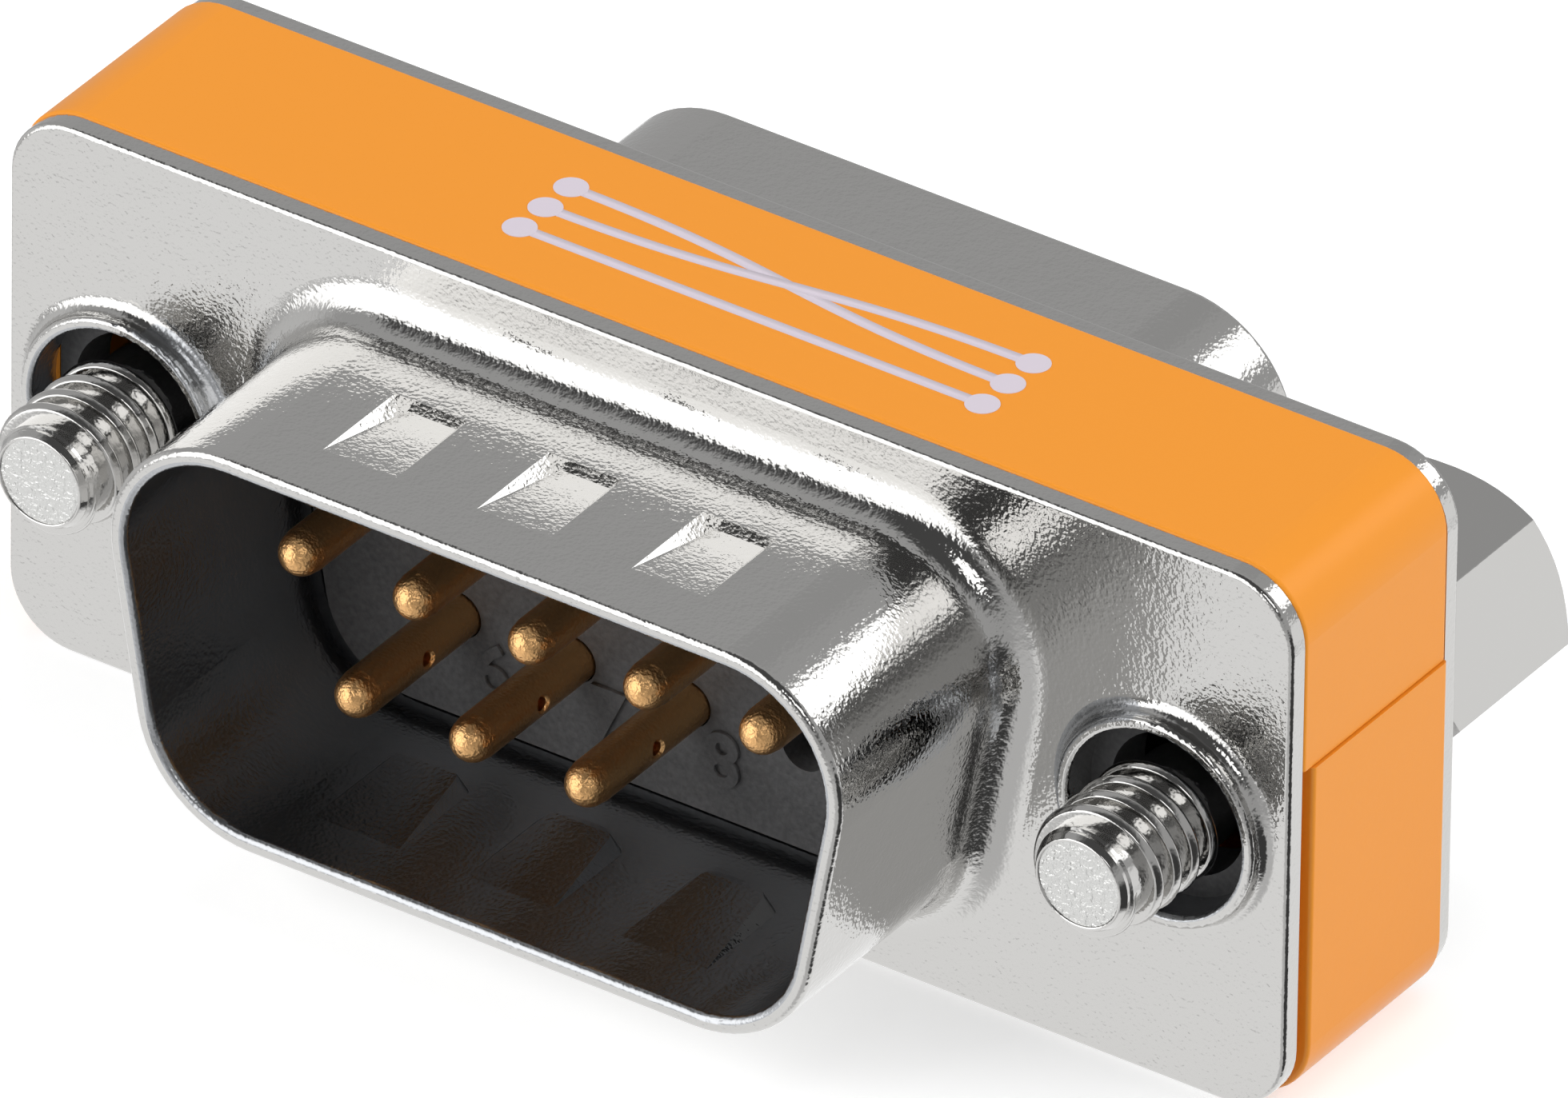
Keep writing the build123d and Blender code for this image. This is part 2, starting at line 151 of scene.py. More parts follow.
world = bpy.data.worlds.new("studio")
bpy.context.scene.world = world
world.use_nodes = True
tree = world.node_tree
tree.nodes.clear()
looking = add_node(tree, "ShaderNodeTexCoord").outputs["Generated"]
height = add_node(tree, "ShaderNodeSeparateXYZ", {"Vector": looking}).outputs["Z"]
brightness = add_node(
    tree,
    "ShaderNodeMapRange",
    {
        "Value": height,
        "From Min": ground_edge,
        "From Max": sky_edge,
        "To Min": ground_brightness,
        "To Max": sky_brightness,
    },
    interpolation_type="SMOOTHSTEP",
).outputs["Result"]
for azimuth, elevation, reach, edge, glow in cards:
    alignment = add_node(
        tree, "ShaderNodeVectorMath", {0: looking, 1: direction(azimuth, elevation)}, operation="DOT_PRODUCT"
    ).outputs["Value"]
    share = add_node(
        tree,
        "ShaderNodeMapRange",
        {
            "Value": alignment,
            "From Min": math.cos(math.radians(reach + edge)),
            "From Max": math.cos(math.radians(reach - edge)),
        },
        interpolation_type="SMOOTHSTEP",
    ).outputs["Result"]
    brightness = add_node(
        tree, "ShaderNodeMix", {"Factor": share, "A": brightness, "B": glow}
    ).outputs["Result"]
ray = add_node(tree, "ShaderNodeLightPath")
soft_light = add_node(
    tree, "ShaderNodeMix", {"Factor": ray.outputs["Is Glossy Ray"], "A": room_brightness, "B": brightness}
).outputs["Result"]
strength = add_node(
    tree, "ShaderNodeMix", {"Factor": ray.outputs["Is Camera Ray"], "A": soft_light, "B": white_background}
).outputs["Result"]
background = add_node(tree, "ShaderNodeBackground", {"Strength": strength})
add_node(tree, "ShaderNodeOutputWorld", {"Surface": background.outputs["Background"]})

lamp_distance = 400 * mm


def add_softbox(name, azimuth, elevation, size, power):
    """Square area lamp that faces the adapter; gloss sees the world's cards in its place."""
    data = bpy.data.lights.new(name, "AREA")
    data.size = size
    data.energy = power
    softbox = bpy.data.objects.new(name, data)
    outwards = direction(azimuth, elevation)
    turned = outwards.to_track_quat("Z", "Y").to_matrix().to_4x4()
    softbox.matrix_world = Matrix.Translation(outwards * lamp_distance) @ turned
    softbox.visible_glossy = False
    softbox.visible_camera = False
    bpy.context.scene.collection.objects.link(softbox)


add_softbox("key_softbox", azimuth=-150, elevation=30, size=250 * mm, power=0.9)
add_softbox("side_softbox", azimuth=62, elevation=28, size=300 * mm, power=0.8)
add_softbox("top_softbox", azimuth=10, elevation=75, size=300 * mm, power=0.4)

sweep_half = 600 * mm
sweep_level = construction_box[0].z
sweep_corners = [
    (x * sweep_half, y * sweep_half, sweep_level) for x, y in ((-1, -1), (1, -1), (1, 1), (-1, 1))
]
sweep_mesh = bpy.data.meshes.new("sweep")
sweep_mesh.from_pydata(sweep_corners, [], [(0, 1, 2, 3)])
sweep = bpy.data.objects.new("sweep", sweep_mesh)
bpy.context.scene.collection.objects.link(sweep)
sweep.visible_glossy = False

# White paper: matt, and lifted to white for the camera alone, so that the adapter's soft shadow stays
paper_lift = 0.52
paper = bpy.data.materials.new("white_paper")
paper.use_nodes = True
tree = paper.node_tree
tree.nodes.clear()
matt = add_node(tree, "ShaderNodeBsdfDiffuse", {"Color": from_hex("#E6E6E6")})
seen = add_node(tree, "ShaderNodeLightPath").outputs["Is Camera Ray"]
lift = add_node(tree, "ShaderNodeMath", {0: seen, 1: paper_lift}, operation="MULTIPLY").outputs["Value"]
glow = add_node(tree, "ShaderNodeEmission", {"Strength": lift})
both = add_node(tree, "ShaderNodeAddShader", {0: matt.outputs["BSDF"], 1: glow.outputs["Emission"]})
add_node(tree, "ShaderNodeOutputMaterial", {"Surface": both.outputs["Shader"]})
sweep.data.materials.append(paper)


# Drawn shells: thin steel sheet pressed into a D, nickel plated, with two raised collars on the plug's
# flange. The plating is bright, and the sheet's grain and the press's slight waves show through it.
def new_material(name):
    """Material with one Principled shader: the material, its node tree and the shader."""
    made = bpy.data.materials.new(name)
    made.use_nodes = True
    made.node_tree.nodes.clear()
    shader = add_node(made.node_tree, "ShaderNodeBsdfPrincipled")
    add_node(made.node_tree, "ShaderNodeOutputMaterial", {"Surface": shader.outputs["BSDF"]})
    return made, made.node_tree, shader


def dress(material, slot, *names):
    """Give construction nodes a finish; the slot argument is not used."""
    for name in names:
        for place in nodes[name].material_slots:
            place.material = material


def per_size(millimetres):
    """Texture scale at which one cell of the pattern has this size."""
    return 1 / (millimetres * mm)


# Nickel plate on drawn steel: a neutral mirror, which grain 0.1 mm across and waves of 0.7 mm soften
nickel, tree, shader = new_material("nickel_plated_steel")
shader.inputs["Metallic"].default_value = 1.0
place = add_node(tree, "ShaderNodeTexCoord").outputs["Object"]
grain = add_node(
    tree, "ShaderNodeTexNoise", {"Vector": place, "Scale": per_size(0.1), "Detail": 1.0}
).outputs["Fac"]
waves = add_node(
    tree, "ShaderNodeTexNoise", {"Vector": place, "Scale": per_size(0.7), "Detail": 1.0}
).outputs["Fac"]
fine = add_node(tree, "ShaderNodeBump", {"Height": grain, "Strength": 1.0, "Distance": 0.01 * mm})
bump = add_node(
    tree,
    "ShaderNodeBump",
    {"Height": waves, "Strength": 1.0, "Distance": 0.012 * mm, "Normal": fine.outputs["Normal"]},
)
tree.links.new(bump.outputs["Normal"], shader.inputs["Normal"])
# The punch leaves the inside of the shells rougher than the die leaves the outside, and the plate's colour is
# painted darker and cooler there as painted shade.
# A face is inside where its normal points at the Y axis; the limits are the axis's distance along it.
inside_at, outside_at = -0.6 * mm, -0.3 * mm
inside_roughness, outside_roughness = 0.26, 0.08
from_axis = add_node(
    tree, "ShaderNodeVectorMath", {0: place, 1: (1.0, 0.0, 1.0)}, operation="MULTIPLY"
).outputs["Vector"]
facing = add_node(tree, "ShaderNodeTexCoord").outputs["Normal"]
outwards = add_node(
    tree, "ShaderNodeVectorMath", {0: facing, 1: from_axis}, operation="DOT_PRODUCT"
).outputs["Value"]
outer = add_node(
    tree, "ShaderNodeMapRange", {"Value": outwards, "From Min": inside_at, "From Max": outside_at}
).outputs["Result"]
dullness = add_node(
    tree, "ShaderNodeMix", {"Factor": outer, "A": inside_roughness, "B": outside_roughness}
).outputs["Result"]
tree.links.new(dullness, shader.inputs["Roughness"])
# Painted shade: the inside faces get a darker, cooler plate colour than the outside faces.
plate_with_painted_inner_shade = add_node(
    tree,
    "ShaderNodeMix",
    {"Factor": outer, 6: from_hex("#BBBDC0"), 7: from_hex("#CECDCB")},
    data_type="RGBA",
).outputs[2]
tree.links.new(plate_with_painted_inner_shade, shader.inputs["Base Color"])
dress(nickel, "nickel_shell", "male_shell", "female_shell")


# Insulators: black glass-filled PBT, moulded in one piece each, with nine holes for the contacts.
# Each hole has its number moulded beside it, a little proud of the face, from one to nine.
def finished(name, mesh, material, body):
    """Object from a mesh already in place, with its finish and the body it rides on."""
    mesh.name = name
    if not mesh.materials:
        mesh.materials.append(material)
    piece = bpy.data.objects.new(name, mesh)
    bpy.context.scene.collection.objects.link(piece)
    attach(piece, body)
    return piece


# Glass-filled PBT: black, with a fine pale grain on the moulded face from the short glass fibres
pbt, tree, shader = new_material("glass_filled_black_pbt")
place = add_node(tree, "ShaderNodeTexCoord").outputs["Object"]
fibres = add_node(
    tree, "ShaderNodeTexNoise", {"Vector": place, "Scale": per_size(0.12), "Detail": 4.0}
).outputs["Fac"]
shade = add_node(
    tree,
    "ShaderNodeMix",
    {"Factor": fibres, 6: from_hex("#343435"), 7: from_hex("#636364")},
    data_type="RGBA",
).outputs[2]
tree.links.new(shade, shader.inputs["Base Color"])
shader.inputs["Roughness"].default_value = 0.5
bump = add_node(tree, "ShaderNodeBump", {"Height": fibres, "Strength": 0.6, "Distance": 0.02 * mm})
tree.links.new(bump.outputs["Normal"], shader.inputs["Normal"])
dress(pbt, "black_pbt", "male_insulator", "female_insulator")

contact_pitch = 2.77 * mm
row_pitch = 2.84 * mm
# A figure stands 0.7 of its font size high, and its strokes are widened by a share of its height
figure_share = 0.7
stroke_widening = 0.03
merging_distance = 0.0005 * mm


def contact_place(number):
    """X and Z of a numbered contact: 1 to 5 along the wide side, 6 to 9 below."""
    if number <= 5:
        return (number - 3) * contact_pitch, row_pitch / 2
    return (number - 7.5) * contact_pitch, -row_pitch / 2


def moulded_numbers(name, face, towards, digit_height, aside, below, proud):
    """Nine digits as one mesh on an insulator's face; towards is the way it looks along Y, 1 or -1."""
    together = bmesh.new()
    for number in range(1, 10):
        curve = bpy.data.curves.new("digit", "FONT")
        curve.body = str(number)
        curve.size = digit_height / figure_share
        curve.extrude = proud
        curve.offset = stroke_widening * digit_height
        curve.align_x = "CENTER"
        curve.align_y = "CENTER"
        digit = bpy.data.objects.new("digit", curve)
        bpy.context.scene.collection.objects.link(digit)
        flat = bpy.data.meshes.new_from_object(digit.evaluated_get(bpy.context.evaluated_depsgraph_get()))
        bpy.data.objects.remove(digit)
        bpy.data.curves.remove(curve)
        x, z = contact_place(number)
        across = -towards
        upright = Matrix(((across, 0, 0, 0), (0, 0, towards, 0), (0, 1, 0, 0), (0, 0, 0, 1)))
        flat.transform(Matrix.Translation((x + across * aside, face, z - below)) @ upright)
        together.from_mesh(flat)
        bpy.data.meshes.remove(flat)
    bmesh.ops.remove_doubles(together, verts=together.verts, dist=merging_distance)
    bmesh.ops.recalc_face_normals(together, faces=together.faces)
    mesh = bpy.data.meshes.new(name)
    together.to_mesh(mesh)
    together.free()
    finished(name, mesh, pbt, "housing")


moulded_numbers(
    "plug_numbers",
    face=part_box("male_insulator")[0].y,
    towards=-1,
    digit_height=1.2 * mm,
    aside=0.85 * mm,
    below=1.05 * mm,
    proud=0.09 * mm,
)
moulded_numbers(
    "socket_numbers",
    face=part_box("female_insulator")[1].y,
    towards=1,
    digit_height=0.9 * mm,
    aside=0.95 * mm,
    below=1.1 * mm,
    proud=0.05 * mm,
)

# Contacts: turned brass with a thin flash of gold, eight pins in front and eight split sockets behind.
# The tool's fine marks spread each highlight into sparkle on the round noses.
gold, tree, shader = new_material("gold_flashed_brass")
shader.inputs["Metallic"].default_value = 1.0
shader.inputs["Base Color"].default_value = from_hex("#EFBC80")
shader.inputs["Roughness"].default_value = 0.33
place = add_node(tree, "ShaderNodeTexCoord").outputs["Object"]
marks = add_node(
    tree, "ShaderNodeTexNoise", {"Vector": place, "Scale": per_size(0.07), "Detail": 1.0}
).outputs["Fac"]
bump = add_node(tree, "ShaderNodeBump", {"Height": marks, "Strength": 1.0, "Distance": 0.022 * mm})
tree.links.new(bump.outputs["Normal"], shader.inputs["Normal"])
dress(gold, "gold_contact", *[name for name in nodes if name.startswith(("pin_", "socket_"))])

# Crossover board: a glass-epoxy board between the two insulators that swaps the lines over.
# It is cut from green sheet, with a faint weave under the resist.
laminate, tree, shader = new_material("glass_epoxy_laminate")
place = add_node(tree, "ShaderNodeTexCoord").outputs["Object"]
weave = add_node(
    tree, "ShaderNodeTexNoise", {"Vector": place, "Scale": per_size(0.4), "Detail": 2.0}
).outputs["Fac"]
shade = add_node(
    tree,
    "ShaderNodeMix",
    {"Factor": weave, 6: from_hex("#35703F"), 7: from_hex("#4A8858")},
    data_type="RGBA",
).outputs[2]
tree.links.new(shade, shader.inputs["Base Color"])
shader.inputs["Roughness"].default_value = 0.4
dress(laminate, "board_laminate", "crossover_board")

# Band: two halves moulded in orange ABS, which close between the flanges, with a satin skin.
# The skin has the very slight unevenness of a fine-sparked mould.
abs_plastic, tree, shader = new_material("orange_abs")
shader.inputs["Base Color"].default_value = from_hex("#F99D2E")
shader.inputs["Roughness"].default_value = 0.34
shader.inputs["Specular IOR Level"].default_value = 0.35
place = add_node(tree, "ShaderNodeTexCoord").outputs["Object"]
skin = add_node(
    tree, "ShaderNodeTexNoise", {"Vector": place, "Scale": per_size(0.2), "Detail": 3.0}
).outputs["Fac"]
bump = add_node(tree, "ShaderNodeBump", {"Height": skin, "Strength": 0.3, "Distance": 0.01 * mm})
tree.links.new(bump.outputs["Normal"], shader.inputs["Normal"])
dress(abs_plastic, "orange_abs", "band_upper", "band_lower")


# Printed sign: pale ink on the band's top, where such an adapter carries its print. It shows what the
# adapter does with plain marks and no lettering: of three lines, two change places on their way across.
def grown(tree, sockets, values):
    """Plain mesh that a Geometry Nodes tree makes from named values."""
    holder = bpy.data.objects.new("holder", bpy.data.meshes.new("holder"))
    bpy.context.scene.collection.objects.link(holder)
    growth = holder.modifiers.new("growth", "NODES")
    growth.node_group = tree
    for name, value in values.items():
        growth[sockets[name]] = value
    mesh = bpy.data.meshes.new_from_object(holder.evaluated_get(bpy.context.evaluated_depsgraph_get()))
    empty = holder.data
    bpy.data.objects.remove(holder)
    bpy.data.meshes.remove(empty)
    return mesh


def named_inputs(tree, sizes, result):
    """Give a tree its named inputs and its output; each name's socket identifier."""
    sockets = {
        name: tree.interface.new_socket(name=name, in_out="INPUT", socket_type=kind).identifier
        for name, kind in sizes.items()
    }
    tree.interface.new_socket(name=result, in_out="OUTPUT", socket_type="NodeSocketGeometry")
    return sockets


# Pad-print ink: a thin matt film, pale against the orange
ink, tree, shader = new_material("pale_pad_print_ink")
shader.inputs["Base Color"].default_value = from_hex("#DDD3DE")
shader.inputs["Roughness"].default_value = 0.5

# The dots are thicker than the lines that end in them, so that no two faces share a place
dot_to_line = 1.4
run_tree = bpy.data.node_groups.new("printed_run", "GeometryNodeTree")
run_sockets = named_inputs(
    run_tree,
    {
        "Start": "NodeSocketVector",
        "End": "NodeSocketVector",
        "Lead": "NodeSocketVector",
        "Stroke": "NodeSocketFloat",
        "Dot Radius": "NodeSocketFloat",
        "Thickness": "NodeSocketFloat",
        "Finish": "NodeSocketMaterial",
    },
    "Print",
)
given = add_node(run_tree, "NodeGroupInput").outputs
start_handle = add_node(
    run_tree, "ShaderNodeVectorMath", {0: given["Start"], 1: given["Lead"]}
).outputs["Vector"]
end_handle = add_node(
    run_tree, "ShaderNodeVectorMath", {0: given["End"], 1: given["Lead"]}, operation="SUBTRACT"
).outputs["Vector"]
path = add_node(
    run_tree,
    "GeometryNodeCurvePrimitiveBezierSegment",
    {
        "Start": given["Start"],
        "Start Handle": start_handle,
        "End Handle": end_handle,
        "End": given["End"],
        "Resolution": 40,
    },
    mode="POSITION",
).outputs["Curve"]
stroke = add_node(
    run_tree,
    "GeometryNodeCurvePrimitiveQuadrilateral",
    {"Width": given["Stroke"], "Height": given["Thickness"]},
    mode="RECTANGLE",
).outputs["Curve"]
level_path = add_node(run_tree, "GeometryNodeSetCurveNormal", {"Curve": path}, mode="Z_UP").outputs["Curve"]
line = add_node(
    run_tree, "GeometryNodeCurveToMesh", {"Curve": level_path, "Profile Curve": stroke, "Fill Caps": True}
).outputs["Mesh"]
ends = add_node(
    run_tree,
    "GeometryNodeMeshLine",
    {"Count": 2, "Start Location": given["Start"], "Offset": given["End"]},
    mode="END_POINTS",
).outputs["Mesh"]
dot_thickness = add_node(
    run_tree, "ShaderNodeMath", {0: given["Thickness"], 1: dot_to_line}, operation="MULTIPLY"
).outputs[0]
dot = add_node(
    run_tree,
    "GeometryNodeMeshCylinder",
    {"Vertices": 40, "Radius": given["Dot Radius"], "Depth": dot_thickness},
).outputs["Mesh"]
dots = add_node(
    run_tree, "GeometryNodeInstanceOnPoints", {"Points": ends, "Instance": dot}
).outputs["Instances"]
joined = add_node(run_tree, "GeometryNodeJoinGeometry")
run_tree.links.new(line, joined.inputs[0])
run_tree.links.new(dots, joined.inputs[0])
real = add_node(
    run_tree, "GeometryNodeRealizeInstances", {"Geometry": joined.outputs[0]}
).outputs["Geometry"]
inked = add_node(run_tree, "GeometryNodeSetMaterial", {"Geometry": real, "Material": given["Finish"]})
add_node(run_tree, "NodeGroupOutput", {"Print": inked.outputs["Geometry"]})

band_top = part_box("band_upper")[1].z
sign_left, sign_right = -4.5 * mm, 6.6 * mm
sign_rows = (3.9 * mm, 3.0 * mm, 2.1 * mm)
sign_lead = 5.2 * mm
sign_stroke = 0.28 * mm
sign_dot_radius = 0.36 * mm
sign_proud = 0.0075 * mm
together = bmesh.new()
# Row at the left, row at the right, and how much thicker the line is, so that lines that cross stay apart
for left_row, right_row, extra in ((0, 1, 0.0), (1, 0, 0.2), (2, 2, 0.4)):
    printed = grown(
        run_tree,
        run_sockets,
        {
            "Start": (sign_left, sign_rows[left_row], band_top),
            "End": (sign_right, sign_rows[right_row], band_top),
            "Lead": (sign_lead, 0.0, 0.0),
            "Stroke": sign_stroke,
            "Dot Radius": sign_dot_radius,
            "Thickness": (2 + extra) * sign_proud,
            "Finish": ink,
        },
    )
    together.from_mesh(printed)
    bpy.data.meshes.remove(printed)
bmesh.ops.recalc_face_normals(together, faces=together.faces)
sign_mesh = bpy.data.meshes.new("printed_sign")
together.to_mesh(sign_mesh)
together.free()
finished("printed_sign", sign_mesh, ink, "housing")

# Snap rings: stamped spring steel, a plain grey metal, which keep the jackscrews in the band.
# Each sits in its screw's groove, just inside the socket's flange.
spring, tree, shader = new_material("spring_steel")
shader.inputs["Metallic"].default_value = 1.0
shader.inputs["Base Color"].default_value = from_hex("#9A9A9C")
shader.inputs["Roughness"].default_value = 0.35
place = add_node(tree, "ShaderNodeTexCoord").outputs["Object"]
burrs = add_node(
    tree, "ShaderNodeTexNoise", {"Vector": place, "Scale": per_size(0.15), "Detail": 2.0}
).outputs["Fac"]
bump = add_node(tree, "ShaderNodeBump", {"Height": burrs, "Strength": 0.5, "Distance": 0.01 * mm})
tree.links.new(bump.outputs["Normal"], shader.inputs["Normal"])
dress(spring, "spring_steel", "retaining_ring_left", "retaining_ring_right")

# Jackscrews: steel turned from hexagon bar and nickel plated: a tapped head behind, a plain shank with the
# ring's groove in the band, and a thread of forty turns to the inch in front, sheared off rough at its end.
thread_pitch = 25.4 / 40 * mm
tip, tip_radius, tip_lip = -3.1 * mm, 0.94 * mm, 0.035 * mm
pilot, pilot_radius = -2.88 * mm, 1.1 * mm
tip_bevel, pilot_bevel, thread_relief = 0.14 * mm, 0.05 * mm, 0.1 * mm
thread_root, thread_crest = 1.15 * mm, 1.34 * mm
thread_end = -0.1 * mm
thread_rounding = 0.06 * mm
shank_radius = 1.15 * mm
groove_front, groove_back, groove_radius = 4.9 * mm, 5.4 * mm, 0.9 * mm
head_near, head_far = 6.15 * mm, 10.65 * mm
apothem = 2.38 * mm
corner_radius = apothem / math.cos(math.radians(30))
corner_round = 0.03 * mm
head_chamfer = 0.28 * mm
end_face_radius = apothem - 0.02 * mm
mouth_radius, bore_root, bore_crest = 1.5 * mm, 1.4 * mm, 1.13 * mm
bore_depth, tapped_length = 3.8 * mm, 3.2 * mm
mouth_bevel, tap_run_out, drill_point = 0.12 * mm, 0.2 * mm, 0.6 * mm
sharp_edge = math.radians(28)

ridge_tree = bpy.data.node_groups.new("thread_ridge", "GeometryNodeTree")
ridge_sockets = named_inputs(
    ridge_tree,
    {
        "Turns": "NodeSocketFloat",
        "Pitch": "NodeSocketFloat",
        "Root Radius": "NodeSocketFloat",
        "Height": "NodeSocketFloat",
        "Half Crest": "NodeSocketFloat",
        "Half Foot": "NodeSocketFloat",
        "Sink": "NodeSocketFloat",
        "Rounding": "NodeSocketFloat",
        "Fade Turns": "NodeSocketFloat",
        "Place": "NodeSocketVector",
        "Finish": "NodeSocketMaterial",
    },
    "Thread",
)
given = add_node(ridge_tree, "NodeGroupInput").outputs
rise = add_node(
    ridge_tree, "ShaderNodeMath", {0: given["Turns"], 1: given["Pitch"]}, operation="MULTIPLY"
).outputs[0]
helix = add_node(
    ridge_tree,
    "GeometryNodeCurveSpiral",
    {
        "Resolution": 56,
        "Rotations": given["Turns"],
        "Start Radius": given["Root Radius"],
        "End Radius": given["Root Radius"],
        "Height": rise,
        "Reverse": True,
    },
).outputs["Curve"]
helix = add_node(ridge_tree, "GeometryNodeSetCurveNormal", {"Curve": helix}, mode="Z_UP").outputs["Curve"]
# The ridge's section: a foot sunk into the core and a narrower crest, with all four corners rounded
section_corners = (
    ("Half Foot", -1, "Sink"),
    ("Half Foot", 1, "Sink"),
    ("Half Crest", 1, "Height"),
    ("Half Crest", -1, "Height"),
)
corners = {}
for number, (width, side, level) in enumerate(section_corners, 1):
    across = add_node(
        ridge_tree, "ShaderNodeMath", {0: given[width], 1: side}, operation="MULTIPLY"
    ).outputs[0]
    corners[f"Point {number}"] = add_node(
        ridge_tree, "ShaderNodeCombineXYZ", {"X": across, "Y": given[level]}
    ).outputs["Vector"]
section = add_node(
    ridge_tree, "GeometryNodeCurvePrimitiveQuadrilateral", corners, mode="POINTS"
).outputs["Curve"]
section = add_node(
    ridge_tree,
    "GeometryNodeFilletCurve",
    {"Curve": section, "Count": 3, "Radius": given["Rounding"]},
    mode="POLY",
).outputs["Curve"]
# At both ends the ridge shrinks away over part of a turn
along = add_node(ridge_tree, "GeometryNodeSplineParameter").outputs["Factor"]
turned = add_node(
    ridge_tree, "ShaderNodeMath", {0: along, 1: given["Turns"]}, operation="MULTIPLY"
).outputs[0]
left = add_node(
    ridge_tree, "ShaderNodeMath", {0: given["Turns"], 1: turned}, operation="SUBTRACT"
).outputs[0]
nearer = add_node(ridge_tree, "ShaderNodeMath", {0: turned, 1: left}, operation="MINIMUM").outputs[0]
fade = add_node(
    ridge_tree,
    "ShaderNodeMapRange",
    {"Value": nearer, "From Min": 0.0, "From Max": given["Fade Turns"], "To Min": 0.02, "To Max": 1.0},
).outputs["Result"]
ridge = add_node(
    ridge_tree,
    "GeometryNodeCurveToMesh",
    {"Curve": helix, "Profile Curve": section, "Scale": fade, "Fill Caps": True},
).outputs["Mesh"]
# The helix climbs along +Z; a quarter turn about X lays it along +Y
laid = add_node(
    ridge_tree,
    "GeometryNodeTransform",
    {"Geometry": ridge, "Rotation": (math.radians(-90), 0, 0), "Translation": given["Place"]},
).outputs["Geometry"]
real = add_node(ridge_tree, "GeometryNodeRealizeInstances", {"Geometry": laid}).outputs["Geometry"]
plated = add_node(ridge_tree, "GeometryNodeSetMaterial", {"Geometry": real, "Material": given["Finish"]})
add_node(ridge_tree, "NodeGroupOutput", {"Thread": plated.outputs["Geometry"]})

# Nickel plate on turned steel: smoother than the sheet, with the cutter's faint unevenness
turned_nickel, tree, shader = new_material("nickel_plated_turned_steel")
shader.inputs["Metallic"].default_value = 1.0
shader.inputs["Base Color"].default_value = from_hex("#CFCECC")
shader.inputs["Roughness"].default_value = 0.12
place = add_node(tree, "ShaderNodeTexCoord").outputs["Object"]
chatter = add_node(
    tree, "ShaderNodeTexNoise", {"Vector": place, "Scale": per_size(0.12), "Detail": 1.0}
).outputs["Fac"]
bump = add_node(tree, "ShaderNodeBump", {"Height": chatter, "Strength": 1.0, "Distance": 0.006 * mm})
tree.links.new(bump.outputs["Normal"], shader.inputs["Normal"])

# The same plate over the torn end of the bar: coarse grain that catches light from everywhere, with its
# colour painted a little lighter than the turned plate's as a painted highlight
sheared_end, tree, shader = new_material("nickel_plated_sheared_end")
shader.inputs["Metallic"].default_value = 1.0
# Painted highlight: this colour is lighter than the turned plate's #CFCECC
shader.inputs["Base Color"].default_value = from_hex("#D8D8D6")
shader.inputs["Roughness"].default_value = 0.3
place = add_node(tree, "ShaderNodeTexCoord").outputs["Object"]
tears = add_node(
    tree, "ShaderNodeTexNoise", {"Vector": place, "Scale": per_size(0.13), "Detail": 2.0}
).outputs["Fac"]
bump = add_node(tree, "ShaderNodeBump", {"Height": tears, "Strength": 1.0, "Distance": 0.045 * mm})
tree.links.new(bump.outputs["Normal"], shader.inputs["Normal"])


def hexagon_radius(from_corner):
    """Radius of the head's hexagon at an angle of 0 to 30 degrees from a corner, with the corner rounded."""
    centre = (apothem - corner_round) / math.cos(math.radians(30))
    round_ends = math.atan2(corner_round / 2, centre + corner_round * math.cos(math.radians(30)))
    if from_corner < round_ends:
        reach = centre * math.sin(from_corner)
        return centre * math.cos(from_corner) + math.sqrt(corner_round**2 - reach**2)
    return apothem / math.cos(math.radians(30) - from_corner)


# Directions round the axis, close together at the six corners of the head
from_corners = [math.radians(step) for step in (-22, -14, -6, -0.8, -0.32, 0, 0.32, 0.8, 6, 14, 22, 30)]
round_axis = [
    (math.radians(60 * side) + step, abs(step)) for side in range(6) for step in from_corners
]


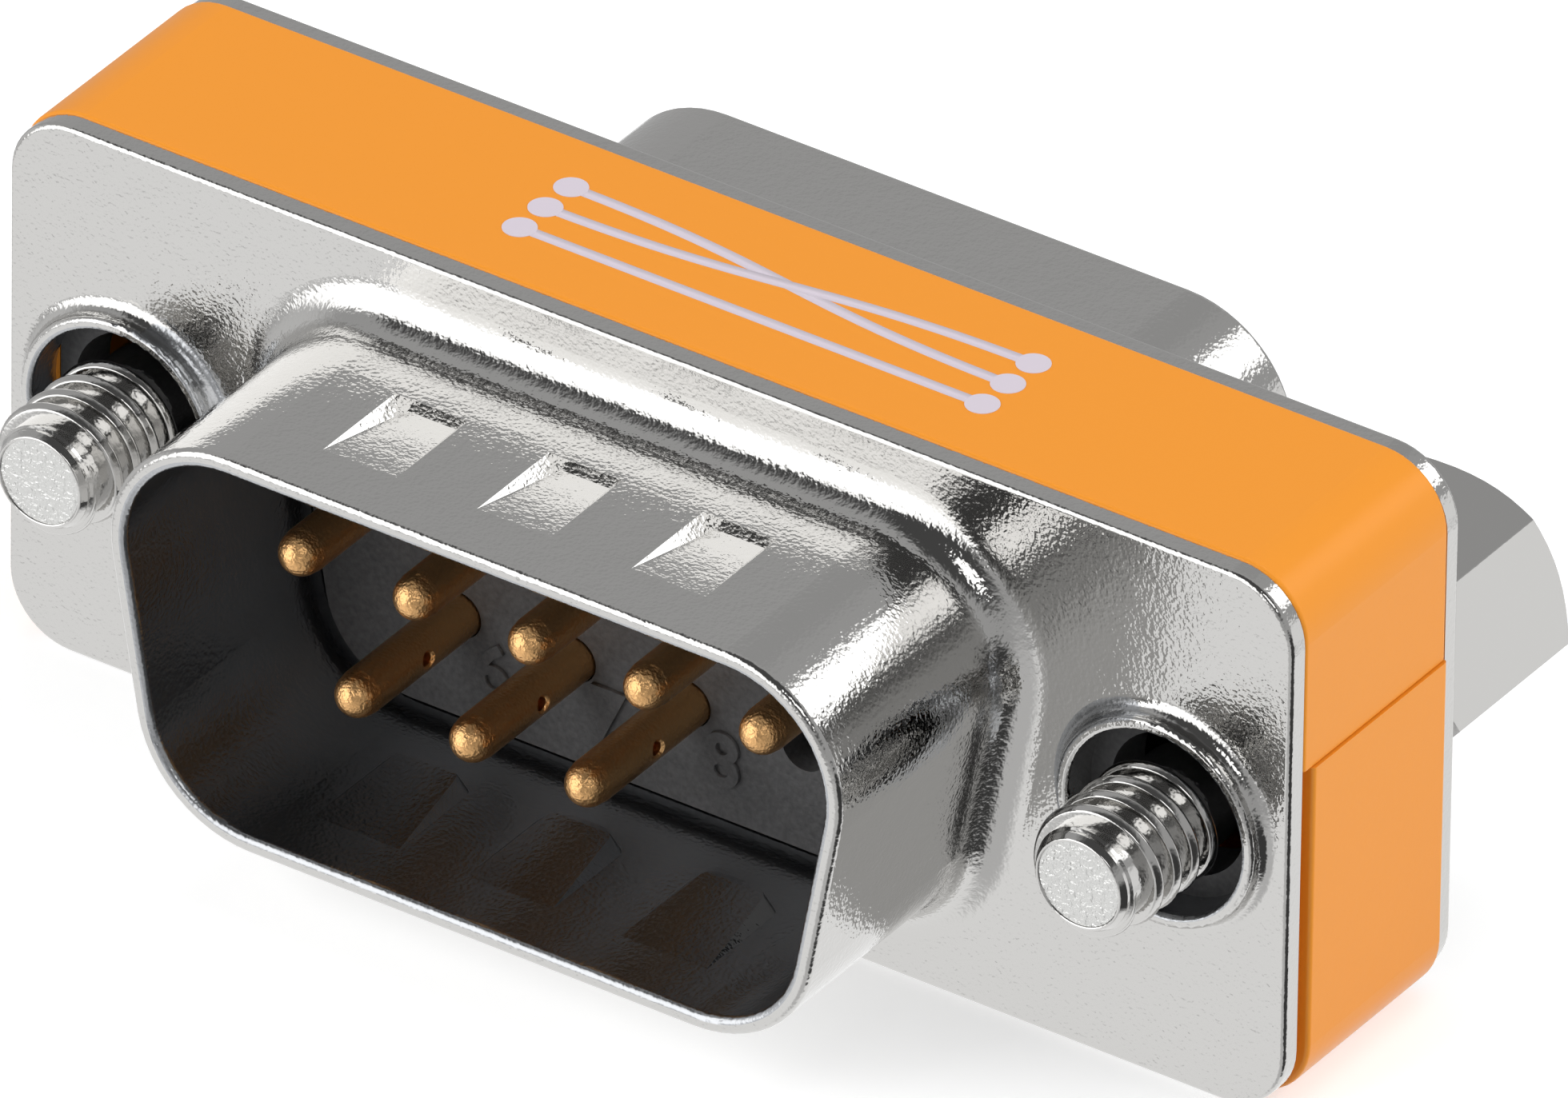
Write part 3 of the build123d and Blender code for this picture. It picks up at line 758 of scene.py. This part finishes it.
def jackscrew_mesh(name, axis_x, corner_turn):
    """Closed mesh of one jackscrew about its axis, with a thread in front and a tapped thread in the head."""
    core = bmesh.new()
    rings = []

    def add_ring(radius, y):
        """Ring round the axis; radius may follow from the angle to a corner, and y from the radius."""
        ring = []
        for angle, from_corner in round_axis:
            r = radius(from_corner) if callable(radius) else radius
            here = y(r) if callable(y) else y
            turn = angle + corner_turn
            ring.append(core.verts.new((axis_x + r * math.cos(turn), here, r * math.sin(turn))))
        rings.append(ring)

    # The torn face, in bands from its middle outwards
    for share in (0.16, 0.33, 0.5, 0.67, 0.84, 1.0):
        add_ring(tip_radius * share, tip + tip_lip)
    torn_bands = len(rings) - 1
    # The shear turns up a thin bright lip round the face
    for step in (-50, -25, 0, 25, 50, 75):
        lean = math.radians(step)
        add_ring(tip_radius + 1.3 * tip_lip * (1 + math.sin(lean)), tip + tip_lip * (1 - math.cos(lean)))
    add_ring(pilot_radius, tip + tip_bevel)
    add_ring(pilot_radius, pilot)
    add_ring(thread_root, pilot + pilot_bevel)
    add_ring(thread_root, thread_end)
    add_ring(shank_radius, thread_end + thread_relief)
    add_ring(shank_radius, groove_front)
    add_ring(groove_radius, groove_front)
    add_ring(groove_radius, groove_back)
    add_ring(shank_radius, groove_back)
    add_ring(shank_radius, head_near)
    # The head's chamfers are cones, so they cut the corners deeper than the flats
    slope = head_chamfer / (corner_radius - apothem)
    add_ring(end_face_radius, head_near)
    add_ring(hexagon_radius, lambda r: head_near + slope * (r - end_face_radius))
    add_ring(hexagon_radius, lambda r: head_far - slope * (r - end_face_radius))
    add_ring(end_face_radius, head_far)
    add_ring(mouth_radius, head_far)
    add_ring(bore_root, head_far - mouth_bevel)
    add_ring(bore_root, head_far - tapped_length)
    add_ring(bore_crest, head_far - tapped_length - tap_run_out)
    add_ring(bore_crest, head_far - bore_depth)

    # Material 0 is the bright plate, and 1 the torn face
    for band, (near, far) in enumerate(zip(rings, rings[1:])):
        for here in range(len(near)):
            beside = (here + 1) % len(near)
            face = core.faces.new((near[here], near[beside], far[beside], far[here]))
            face.material_index = 1 if band < torn_bands else 0
    for ring, y, finish in (
        (rings[0], tip + tip_lip, 1),
        (rings[-1], head_far - bore_depth - drill_point, 0),
    ):
        pole = core.verts.new((axis_x, y, 0))
        for here in range(len(ring)):
            face = core.faces.new((pole, ring[here], ring[(here + 1) % len(ring)]))
            face.material_index = finish
    core.normal_update()
    for edge in core.edges:
        edge.smooth = edge.calc_face_angle(0) < sharp_edge

    outer_thread = {
        "Turns": (thread_end - pilot) / thread_pitch + 0.1,
        "Root Radius": thread_root,
        "Height": thread_crest - thread_root,
        "Half Crest": 0.2 * mm,
        "Half Foot": 0.31 * mm,
        "Sink": -0.03 * mm,
        "Fade Turns": 0.25,
        "Place": (axis_x, pilot + 0.1 * mm, 0.0),
    }
    tapped_thread = {
        "Turns": tapped_length / thread_pitch,
        "Root Radius": bore_root,
        "Height": bore_crest - bore_root,
        "Half Crest": 0.08 * mm,
        "Half Foot": 0.26 * mm,
        "Sink": 0.03 * mm,
        "Fade Turns": 0.3,
        "Place": (axis_x, head_far - tapped_length, 0.0),
    }
    shared = {"Pitch": thread_pitch, "Rounding": thread_rounding, "Finish": turned_nickel}
    for thread in (outer_thread, tapped_thread):
        ridge = grown(ridge_tree, ridge_sockets, thread | shared)
        core.from_mesh(ridge)
        bpy.data.meshes.remove(ridge)
    bmesh.ops.recalc_face_normals(core, faces=core.faces)
    for face in core.faces:
        face.smooth = True
    mesh = bpy.data.meshes.new(name)
    core.to_mesh(mesh)
    core.free()
    mesh.materials.append(turned_nickel)
    mesh.materials.append(sheared_end)
    return mesh


# How far each screw is turned in, in degrees from a corner of its head at +X
hex_turns = {"left": 20.0, "right": -10.5}
for joint in frame["joints"]:
    side = joint["name"].split("_")[0]
    axis_x = joint["pos_m"][0]
    mesh = jackscrew_mesh(f"threaded_jackscrew_{side}", axis_x, math.radians(hex_turns[side]))
    screw = finished(mesh.name, mesh, turned_nickel, joint["child"])
    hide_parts(f"jackscrew_{side}")
